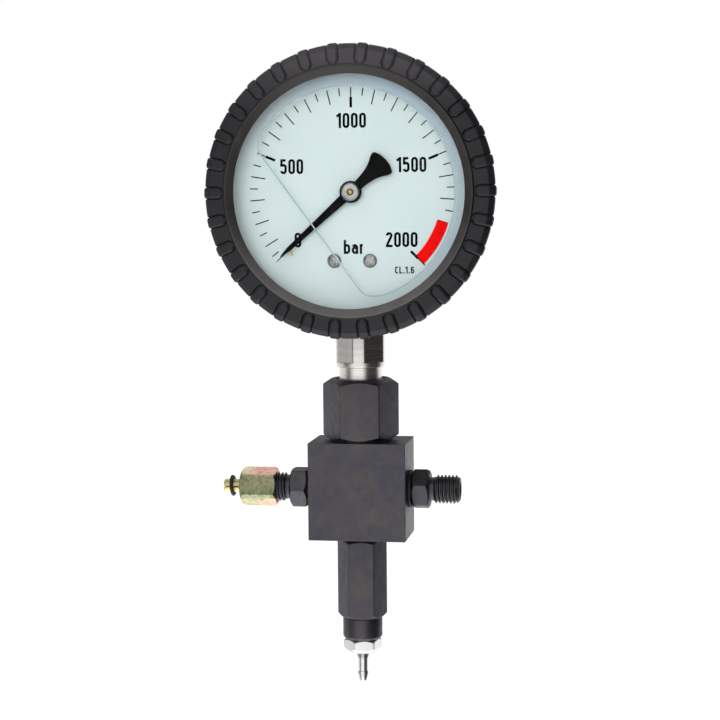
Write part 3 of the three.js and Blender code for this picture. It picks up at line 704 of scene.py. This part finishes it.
stem_hole = moved(turned([(0, 40), (10.9, 40), (10.9, 66), (0, 66)], 0.1),
                  Matrix.Rotation(math.pi / 2, 4, "X"))
piece("boot", boot(), GAUGE, "rubber", replaces=["rubber_boot"], cutters=[stem_hole], sharp=50)


# ---- Dial and its print ----
DIAL_FRONT = 17.7
PRINT_BACK = DIAL_FRONT + 0.01
PRINT_FRONT = PRINT_BACK + 0.03
SCALE_START, SCALE_STEP = 225, 6.75
RED_FROM, RED_SWEEP = -18, 27
piece("dial", turned([(0, 16.9), (48.6, 16.9), (48.6, DIAL_FRONT), (0, DIAL_FRONT)], 0.1, 160), GAUGE,
      "dial", replaces=["dial_plate"])


def mark(angle, inside, outside, width):
    direction, across = Vector(polar(1, angle)), Vector(polar(1, angle + 90)) * (width / 2)
    corners = [direction * inside - across, direction * outside - across,
               direction * outside + across, direction * inside + across]
    return slab([tuple(c) for c in corners], PRINT_BACK, PRINT_FRONT)


def scale_marks():
    """Every tenth mark has a bold foot; beside the red zone the marks are shorter and finer."""
    bold, line, thin = 1.02, 0.44, 0.2
    reach, short_reach = 41.2, 40.2
    zero_angle = 221.9
    marks = []
    for i in range(41):
        angle = SCALE_START - SCALE_STEP * i
        if i == 0:
            marks.append(mark(zero_angle, 37.0, reach, 0.36))
        elif i % 10 == 0:
            marks.append(mark(angle, 33.3, 37.5, bold))
            marks.append(mark(angle, 37.7, reach, 0.46))
        elif angle > RED_FROM:
            marks.append(mark(angle, 35.3 if i % 2 == 0 else 38.0, reach, line))
        else:
            marks.append(mark(angle, 36.2 if i % 2 == 0 else 38.3, short_reach, thin))
    return together(*marks)


def red_zone():
    steps = [RED_FROM - RED_SWEEP * k / 24 for k in range(25)]
    outline = [polar(35.9, a) for a in steps] + [polar(40.6, a) for a in reversed(steps)]
    count = len(steps)
    points = [(x, y, z) for z in (DIAL_FRONT + 0.004, DIAL_FRONT + 0.022) for x, y in outline]
    faces = []
    for i in range(count - 1):
        j = 2 * count - 1 - i
        faces.append((i, i + 1, j - 1, j))
        faces.append(tuple(k + 2 * count for k in (j, j - 1, i + 1, i)))
    for i in range(2 * count):
        j = (i + 1) % (2 * count)
        faces.append((i, j, j + 2 * count, i + 2 * count))
    return points, faces


def stroke(path, width, closed=False):
    """A flat band of constant width along a path of (x, y) points."""
    path = [Vector(p) for p in path]
    count = len(path)
    left, right = [], []
    for i, here in enumerate(path):
        before = (here - path[i - 1]).normalized() if closed or i > 0 else None
        after = (path[(i + 1) % count] - here).normalized() if closed or i < count - 1 else None
        before, after = before or after, after or before
        bisector = (before + after).normalized()
        reach = width / 2 / max(0.4, bisector.dot(after))
        side = Vector((-bisector.y, bisector.x)) * reach
        left.append(here + side)
        right.append(here - side)
    points = [(*p, z) for z in (PRINT_BACK, PRINT_FRONT) for p in (*left, *right)]
    faces = []
    for i in range(count if closed else count - 1):
        j = (i + 1) % count
        low = (i, j, count + j, count + i)
        faces += [low, tuple(k + 2 * count for k in low[::-1])]
        faces.append((i, i + 2 * count, j + 2 * count, j))
        faces.append((count + i, count + j, 3 * count + j, 3 * count + i))
    if not closed:
        for i in (0, count - 1):
            faces.append((i, count + i, 3 * count + i, 2 * count + i))
    return points, faces


def arc(x, y, radius, start, end, steps=10):
    turns = [polar(radius, start + (end - start) * k / steps) for k in range(steps + 1)]
    return [(x + dx, y + dy) for dx, dy in turns]


def glyph(letter, h, s, w):
    """A condensed letter's strokes, of height h, line s and width w, as (path, closed) pairs."""
    left, right, low, high = s / 2, w - s / 2, s / 2, h - s / 2
    r = (right - left) / 2
    m = (left + right) / 2
    x = h * 0.70
    if letter == "0":
        return [(arc(m, high - r, r, 0, 180) + arc(m, low + r, r, 180, 360), True)]
    if letter == "1":
        return [([(right, 0), (right, h)], False),
                ([(right - 1.45 * s, h * 0.80), (right - 0.9 * s, h * 0.815), (right, h * 0.93)], False)]
    if letter == "2":
        foot = [(left + s * 0.2, s * 1.25), (left, low), (w, low)]
        return [(arc(m, high - r, r, 180, -25) + foot, False)]
    if letter == "5":
        bowl = arc(m, h * 0.60 - r, r, 150, 0) + arc(m, low + r, r, 0, -175)
        return [([(right, high), (left + s * 0.1, high), (left, h * 0.5)], False), (bowl, False)]
    if letter == "6":
        lower = arc(m, h * 0.58 - r, r, 0, 180) + arc(m, low + r, r, 180, 360)
        return [(lower, True), (arc(m, high - r, r, 0, 180) + [(left, low + r)], False)]
    if letter == "b":
        lower = arc(m, x - low - r, r, 0, 180) + arc(m, low + r, r, 180, 360)
        return [(lower, True), ([(left, 0), (left, h)], False)]
    if letter == "a":
        lower = arc(m, x * 0.62 - r, r, 0, 180) + arc(m, low + r, r, 180, 360)
        return [(lower, True), ([(right, 0)] + arc(m, x - low - r, r, 0, 165), False)]
    if letter == "r":
        wide = r * 1.25
        return [([(left, 0), (left, x)], False), (arc(left + wide, x - low - wide, wide, 180, 80), False)]
    if letter == "C":
        return [(arc(m, high - r, r, 10, 180) + arc(m, low + r, r, 180, 350), False)]
    if letter == "L":
        return [([(left, h), (left, low), (w, low)], False)]
    if letter == ".":
        return [([(left, 0), (left, s * 1.1)], False)]
    raise ValueError(letter)


def word(text, x, y, height, line, width, gap, narrow=None):
    """A word centred on (x, y)."""
    widths = [(narrow or {}).get(letter, width) for letter in text]
    cursor = x - (sum(widths) + gap * (len(text) - 1)) / 2
    shapes = []
    for letter, own in zip(text, widths):
        for path, closed in glyph(letter, height, line, own):
            shapes.append(stroke([(cursor + px, y - height / 2 + py) for px, py in path], line, closed))
        cursor += own + gap
    return together(*shapes)


figure = dict(height=5.95, line=0.98, width=2.72, gap=0.6, narrow={"1": 2.05})
small = dict(height=2.8, line=0.5, width=1.3, gap=0.38, narrow={"1": 0.8, ".": 0.5})
numbers = together(
    word("1000", 0.0, 28.15, **figure),
    word("500", -24.1, 10.25, **figure),
    word("1500", 23.9, 10.55, **figure),
    word("0", -21.9, -18.95, **figure),
    word("2000", 19.9, -18.95, **figure),
    word("bar", 0.85, -21.75, 5.6, 0.95, 2.6, 0.62, {"r": 2.0}),
    word("CL.1.6", 21.0, -31.0, **small),
)
piece("scale_marks", scale_marks(), GAUGE, "pointer", sharp=20)
piece("scale_numbers", numbers, GAUGE, "pointer", sharp=20)
piece("red_zone", red_zone(), GAUGE, None, material=red_ink, sharp=20)


# ---- Filling liquid's edge, seen behind the window ----
def liquid_edge_path():
    half = math.degrees(math.acos(EDGE_CHORD / EDGE_RADIUS))
    start, end = EDGE_FACING + half, EDGE_FACING - half + 360
    rim = [polar(EDGE_RADIUS, start + (end - start) * k / 140) for k in range(141)]
    # The corners are rounded by trimming both sides and bridging them with a curve.
    trim, pull = 6, 4.4
    trimmed = rim[trim:-trim]
    corner_a, corner_b = Vector(rim[-1]), Vector(rim[0])
    chord_dir = (corner_b - corner_a).normalized()

    def bridge(p, q, corner):
        p, q = Vector(p), Vector(q)
        return [tuple(p * (1 - t) ** 2 + corner * 2 * t * (1 - t) + q * t * t) for t in
                (k / 10 for k in range(1, 10))]

    line_start, line_end = corner_a + chord_dir * pull, corner_b - chord_dir * pull
    straight = [tuple(line_start.lerp(line_end, k / 12)) for k in range(13)]
    path = trimmed + bridge(trimmed[-1], line_start, corner_a) + straight
    path += bridge(line_end, trimmed[0], corner_b)
    return [(x + EDGE_SHIFT[0], y + EDGE_SHIFT[1]) for x, y in path]


def bead(path, z, radius_x, radius_z, sides=6):
    """A thin closed rim of oval section along a flat closed path."""
    count = len(path)
    columns = []
    for i in range(count):
        along = (Vector(path[(i + 1) % count]) - Vector(path[i - 1])).normalized()
        side = Vector((along.y, -along.x))
        column = []
        for k in range(sides):
            a = 2 * math.pi * k / sides
            p = Vector(path[i]) + side * radius_x * math.cos(a)
            column.append((p.x, p.y, z + radius_z * math.sin(a)))
        columns.append(column)
    return grid(columns, ring=True)


piece("liquid_edge", bead(liquid_edge_path(), 22.3, 0.3, 0.1), GAUGE, None, material=liquid_edge)


# ---- Small gauge parts ----
def pan_head_screw(x, turn_by):
    profile = [(0, 17.0), (1.2, 17.0), (1.2, 17.75), (2.8, 17.75), (2.8, 18.2), (2.4, 18.75),
               (1.4, 19.05), (0, 19.1)]
    seat = Matrix.Translation((x, -27.3, 0))
    cross = []
    for quarter in (0, 90):
        turn = Matrix.Rotation(math.radians(turn_by + quarter), 4, "Z")
        cross.append(moved(moved(brick(-1.9, 1.9, -0.48, 0.48, 17.9, 20), turn), seat))
    return moved(turned(profile, 0.15, 64), seat), cross


for name, x, turn_by in (("screw_left", -7.2, 35), ("screw_right", 7.2, 60)):
    shape, cross = pan_head_screw(x, turn_by)
    piece(name, shape, GAUGE, "stainless", replaces=["dial_" + name], cutters=cross)

stop_x, stop_y = polar(34.5, 225)
stop = turned([(0, 16.5), (0.55, 16.5), (0.55, 20.7), (0.4, 20.9), (0, 20.9)], 0.1, 32)
piece("zero_stop", moved(stop, Matrix.Translation((stop_x, stop_y, 0))), GAUGE, "brass",
      replaces=["zero_stop_pin"])


# ---- Pointer ----
POINTER_REST = 221.7


def pointer():
    upper = [(-18.95, 0), (-18.6, 3.1), (-17.4, 5.6), (-15.6, 5.3), (-13.4, 3.9), (-10.5, 2.75),
             (-7, 2.15), (-4, 1.9), (0, 1.85), (4, 1.8), (18, 1.3), (34, 0.88), (38.3, 0.16), (38.7, 0)]
    outline = upper + [(x, -y) for x, y in upper[-2:0:-1]]
    outline = eased(outline, 0.9, 4, closed=True)
    blade = slab(outline, 19.8, 20.4)
    boss = turned([(2.0, 19.5), (4.35, 19.5), (4.35, 21.0), (3.7, 21.1), (2.0, 21.1)], 0.15, ring=True)
    return moved(together(blade, boss), Matrix.Rotation(math.radians(POINTER_REST), 4, "Z"))


piece("needle", pointer(), GAUGE, "pointer", "pointer_body", ["pointer"])
hub_profile = [(1.1, 18.5), (1.9, 18.5), (1.9, 21.1), (3.65, 21.1), (3.65, 21.5), (3.1, 21.85),
               (1.4, 21.95), (1.1, 21.7)]
piece("hub_cap", turned(hub_profile, 0.14, ring=True), GAUGE, "stainless", "pointer_body", ["pointer_hub"])
arbor_profile = [(0, 7.6), (0.6, 7.6), (0.6, 9), (1, 9), (1, 18), (1.0, 18.2), (0.95, 21.5),
                 (0.6, 21.7), (0.3, 21.3), (0, 21.25)]
piece("arbor", turned(arbor_profile, 0.1, 48), GAUGE, "brass", "pointer_body", ["pinion_arbor"])


# ---- Fill plug on the case's back ----
plug_profile = [(0, -19.4), (6.9, -19.4), (8, -18.7), (8, -17.3), (5.7, -17.3), (5.7, -13.4), (0, -13.4)]
dimple = turned([(0, -20), (3.2, -20), (2.4, -18.6), (0, -18.6)], 0.2, 64)
plug_seat = Matrix.Translation((0, 27, 0))
piece("fill_plug", moved(turned(plug_profile, 0.45), plug_seat), GAUGE, "rubber",
      replaces=["case_fill_plug"], cutters=[moved(dimple, plug_seat)])


# ---- Right side: washer and inlet adapter ----
THREAD = dict(crest=5.9, root=4.98, pitch=1.5)
side_washer = turned([(5.3, 0.1), (7.7, 0.1), (7.7, 1.1), (5.3, 1.1)], 0.2, ring=True)
piece("side_washer", side_washer, RIGHT, "black_seal", replaces=["right_washer"])


def inlet_adapter():
    hexagon = around(polygon(6, 15, -76, 0.3), hex_profile(1.4, 8.6, 6.9, 6.9), 0.12)
    neck = turned([(0, 0.3), (5.1, 0.3), (5.1, 2), (4.8, 2), (4.8, 10.6), (0, 10.6)])
    cone = [(4.4, 20.9), (3.6, 20.9), (1.5, 17.3), (1.5, 12), (0, 12)]
    screw = threaded(10.3, 20.9, tip_radius=4.5, tail=cone, **THREAD)
    return together(hexagon, neck, screw)


piece("inlet_adapter", inlet_adapter(), RIGHT, "black_steel", replaces=["right_adapter"])


# ---- Left side: adapter, plug, union nut and ring ----
def side_adapter():
    hexagon = around(polygon(6, 15, -63, 0.3), hex_profile(1.9, 9.2, 7.2, 6.9), 0.12)
    neck = turned([(0, 0.2), (5.1, 0.2), (4.95, 0.6), (4.95, 11.3), (0, 11.3)])
    cone = [(4.4, 22.9), (3.6, 22.9), (1.5, 19.3), (1.5, 14), (0, 14)]
    screw = threaded(11, 22.9, tip_radius=4.5, tail=cone, **THREAD)
    return together(hexagon, neck, screw)


piece("side_adapter", side_adapter(), LEFT, "black_steel", replaces=["left_adapter"])


def union_nut():
    dome = [(8.1, 28.4), (7.75, 29.1), (7.4, 29.6), (7.0, 29.95), (6.3, 30.3), (5.4, 30.5), (4.6, 30.55)]

    def dome_height(radius):
        for (r0, z0), (r1, z1) in zip(dome, dome[1:]):
            if radius >= r1:
                return z0 + (z1 - z0) * (r0 - min(radius, r0)) / (r0 - r1)
        return dome[-1][1]

    def profile(radius):
        rows = [(6.15, 16.1), (6.75, 15.2), (min(radius, 7.0), 15.2),
                (radius, 15.2 + 0.75 * max(0, radius - 7.0))]
        rows += [(min(radius, r), dome_height(min(radius, r))) for r, _ in dome]
        return rows + [(3.15, 30.55), (3.15, 28), (6.15, 26)]

    return around(polygon(6, 14, -78, 0.2), profile, 0.1, ring=True)


piece("sleeve_nut", union_nut(), LEFT, "chromate", "nut_body", ["union_nut"])
plug = turned([(0, 21.2), (1.9, 21.2), (3.3, 23.15), (5.6, 23.5), (5.6, 25.2), (2.83, 27.2),
               (2.83, 37.15), (2.4, 37.75), (0, 37.75)], 0.2)
slit = brick(-0.4, 0.4, -4, 0.2, 30.8, 39)
piece("plug_stub", plug, LEFT, "gold", "plug_body", ["blanking_plug"], cutters=[slit])


def ring_shape():
    middle_radius, thickness = 3.72, 0.68
    columns = []
    for i in range(72):
        column = []
        for k in range(16):
            dr, dz = polar(thickness, 360 * k / 16)
            column.append((*polar(middle_radius + dr, 360 * i / 72), dz))
        columns.append(column)
    tilt = Matrix.Translation((0.1, 0, 34.2)) @ Matrix.Rotation(math.radians(-3.5), 4, "Y")
    return moved(grid(columns, ring=True), tilt)


piece("ring", ring_shape(), LEFT, "black_seal", "plug_body", ["retaining_ring"])


# ---- Relief valve ----
valve_bar = around(polygon(6, 17.7, 84.5, 0.3), hex_profile(1.0, 33.7, 8.3, 8.2, SLOPE, 0.85), 0.15)
valve_neck = turned([(0, 0.1), (7.4, 0.1), (7.4, 1.6), (0, 1.6)])
piece("valve_body", together(valve_bar, valve_neck), DOWN, "black_steel", replaces=["relief_valve_body"])
sleeve_profile = [(3.4, 33.8), (8.15, 33.8), (8.15, 41.5), (7.35, 42.7), (3.4, 42.7)]
piece("valve_sleeve", turned(sleeve_profile, 0.25, 128, ring=True), DOWN, "black_steel",
      replaces=["valve_collar"])


def nozzle():
    hexagon = around(polygon(6, 14, 76.4, 0.35), hex_profile(42.85, 48.4, 6.9, 5.5, 0.75, 0.8), 0.25)
    barb = [(0, 40), (3.2, 40), (3.2, 44), (2.9, 48.4), (2.45, 49.9), (2.05, 51.8), (1.97, 56.6),
            (2.2, 57.1), (2.34, 57.45), (1.95, 59.2), (1.5, 60.8), (1.2, 61.1), (0.85, 61.1),
            (0.8, 55), (0, 55)]
    return together(hexagon, turned(barb, 0.35))


piece("nozzle", nozzle(), DOWN, "zinc", replaces=["outlet_nozzle"])

# The valve spring is shown by its own copy of the CAD mesh, on the root body.
coil = bpy.data.objects.new("valve_coil", frame["nodes"]["valve_spring"].data.copy())
bpy.context.scene.collection.objects.link(coil)
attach(coil, "root")
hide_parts("valve_spring")
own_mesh(coil)


# ---- Camera ----
def camera():
    """At the viewing angle: turned 9.3 degrees towards +X and looking 5 degrees down."""
    azimuth, pitch, roll = math.radians(9.296), math.radians(5.014), math.radians(-0.499)
    distance, focus_height, focus_x = 0.7549, 0.0528, -0.000225
    level = Vector((math.cos(azimuth), math.sin(azimuth), 0))
    ahead = Vector((-math.sin(azimuth), math.cos(azimuth), 0))
    forward = ahead * math.cos(pitch) - Vector((0, 0, math.sin(pitch)))
    upright = level.cross(forward)
    right = level * math.cos(roll) + upright * math.sin(roll)
    up = upright * math.cos(roll) - level * math.sin(roll)
    focus = block_centre + Vector((focus_x, 0, focus_height))
    data = bpy.data.cameras.new("camera")
    data.sensor_width = 36
    data.lens = 92.17
    data.clip_start = 0.01
    data.clip_end = 30
    made = bpy.data.objects.new("camera", data)
    facing = Matrix((right, up, -forward)).transposed().to_4x4()
    made.matrix_world = Matrix.Translation(focus - forward * distance) @ facing
    bpy.context.scene.collection.objects.link(made)
    bpy.context.scene.camera = made


camera()


# ---- Floor and light ----
def floor():
    mesh = bpy.data.meshes.new("floor")
    size, clearance = 12.0, 0.0008
    height = cad_bounds[0].z - clearance
    corners = ((-size, -size), (size, -size), (size, size), (-size, size))
    mesh.from_pydata([(x, y, height) for x, y in corners], [], [(0, 1, 2, 3)])
    grey, light_grey = (0.49, 0.49, 0.49), (0.51, 0.51, 0.51)
    mesh.materials.append(plain_finish("pale_floor", 3.0, grey, light_grey, Roughness=0.9,
                                       Specular_IOR_Level=0.0, Emission_Color=(1, 1, 1, 1),
                                       Emission_Strength=0.84))
    made = bpy.data.objects.new("floor", mesh)
    bpy.context.scene.collection.objects.link(made)
    made.visible_glossy = False
    made.visible_diffuse = False


floor()


def lamp(name, place, size, power, aim):
    data = bpy.data.lights.new(name, "AREA")
    data.shape = "RECTANGLE"
    data.size, data.size_y = size
    data.energy = power
    made = bpy.data.objects.new(name, data)
    made.location = place
    made.rotation_euler = (Vector(aim) - Vector(place)).to_track_quat("-Z", "Y").to_euler()
    made.visible_glossy = False
    bpy.context.scene.collection.objects.link(made)


centre = (stem_axis_x, 0, 0.06)
lamp("key", (-0.05, -1.6, 0.42), (1.2, 1.0), 9, centre)
lamp("top", (-0.1, -0.2, 1.6), (1.2, 1.2), 4, centre)
ROOM_LIGHT = 0.95


def studio():
    """Soft room light: a bright table in front, a bright wall behind, and a dark right-hand side."""
    world = bpy.data.worlds.new("studio")
    bpy.context.scene.world = world
    world.use_nodes = True
    tree = world.node_tree
    background = tree.nodes["Background"]

    def new(kind, **settings):
        node = tree.nodes.new(kind)
        for key, value in settings.items():
            setattr(node, key, value)
        return node

    def feed(node, name, value):
        if hasattr(value, "is_output"):
            tree.links.new(value, node.inputs[name])
        else:
            node.inputs[name].default_value = value

    def step(value, start, end, low=0.0, high=1.0):
        node = new("ShaderNodeMapRange", interpolation_type="SMOOTHSTEP")
        settings = {"Value": value, "From Min": start, "From Max": end, "To Min": low, "To Max": high}
        for name, setting in settings.items():
            feed(node, name, setting)
        return node.outputs["Result"]

    def maths(operation, a, b):
        node = new("ShaderNodeMath", operation=operation)
        feed(node, 0, a)
        feed(node, 1, b)
        return node.outputs["Value"]

    def blend(share, a, b):
        return maths("ADD", a, maths("MULTIPLY", share, maths("SUBTRACT", b, a)))

    parts = new("ShaderNodeSeparateXYZ")
    tree.links.new(new("ShaderNodeTexCoord").outputs["Generated"], parts.inputs[0])
    x, y, z = (parts.outputs[axis] for axis in "XYZ")
    # Light along the horizon: (degrees to the right of the front, brightness).
    horizon = [(-180, 1.0), (-135, 0.85), (-100, 0.74), (-82, 0.62), (-68, 0.2), (-52, 0.18),
               (-38, 0.75), (-26, 1.0), (20, 1.0), (32, 0.5), (42, 0.05), (108, 0.04), (122, 0.6),
               (140, 1.0), (180, 1.0)]
    ramp = new("ShaderNodeValToRGB")
    turn = maths("ARCTAN2", x, maths("MULTIPLY", y, -1.0))
    tree.links.new(maths("ADD", maths("MULTIPLY", turn, 0.5 / math.pi), 0.5), ramp.inputs["Fac"])
    while len(ramp.color_ramp.elements) < len(horizon):
        ramp.color_ramp.elements.new(0.5)
    for element, (degrees, value) in zip(ramp.color_ramp.elements, horizon):
        element.position = degrees / 360 + 0.5
        element.color = (value, value, value, 1)
    # Light by height (z runs from -1, straight down, to 1, straight up), in front and behind.
    front = maths("MULTIPLY", step(z, -0.06, 0.10, 1.0, 0.4), step(z, 0.25, 0.5, 1.0, 2.9))
    front = maths("MULTIPLY", front, step(z, 0.65, 0.95, 1.0, 0.08))
    back = maths("MULTIPLY", step(z, 0.0, 0.07, 1.0, 0.25), step(z, 0.3, 0.7, 1.0, 4.0))
    back = maths("MULTIPLY", back, step(z, 0.78, 0.98, 1.0, 0.06))
    lift = blend(step(y, -0.2, 0.3), front, back)
    # Straight down, the pale table evens out the room.
    table = step(z, -0.95, -0.6, 1.0, 0.0)
    strength = blend(table, maths("MULTIPLY", ramp.outputs["Color"], lift), 0.95)
    strength = maths("MULTIPLY", strength, step(z, -0.92, -0.6, 1.95, 1.05))
    seen = new("ShaderNodeLightPath").outputs["Is Camera Ray"]
    tree.links.new(blend(seen, maths("MULTIPLY", strength, ROOM_LIGHT), 1.0), background.inputs["Strength"])
    background.inputs["Color"].default_value = (1, 1, 1, 1)


studio()
bpy.context.scene.view_settings.view_transform = "Standard"
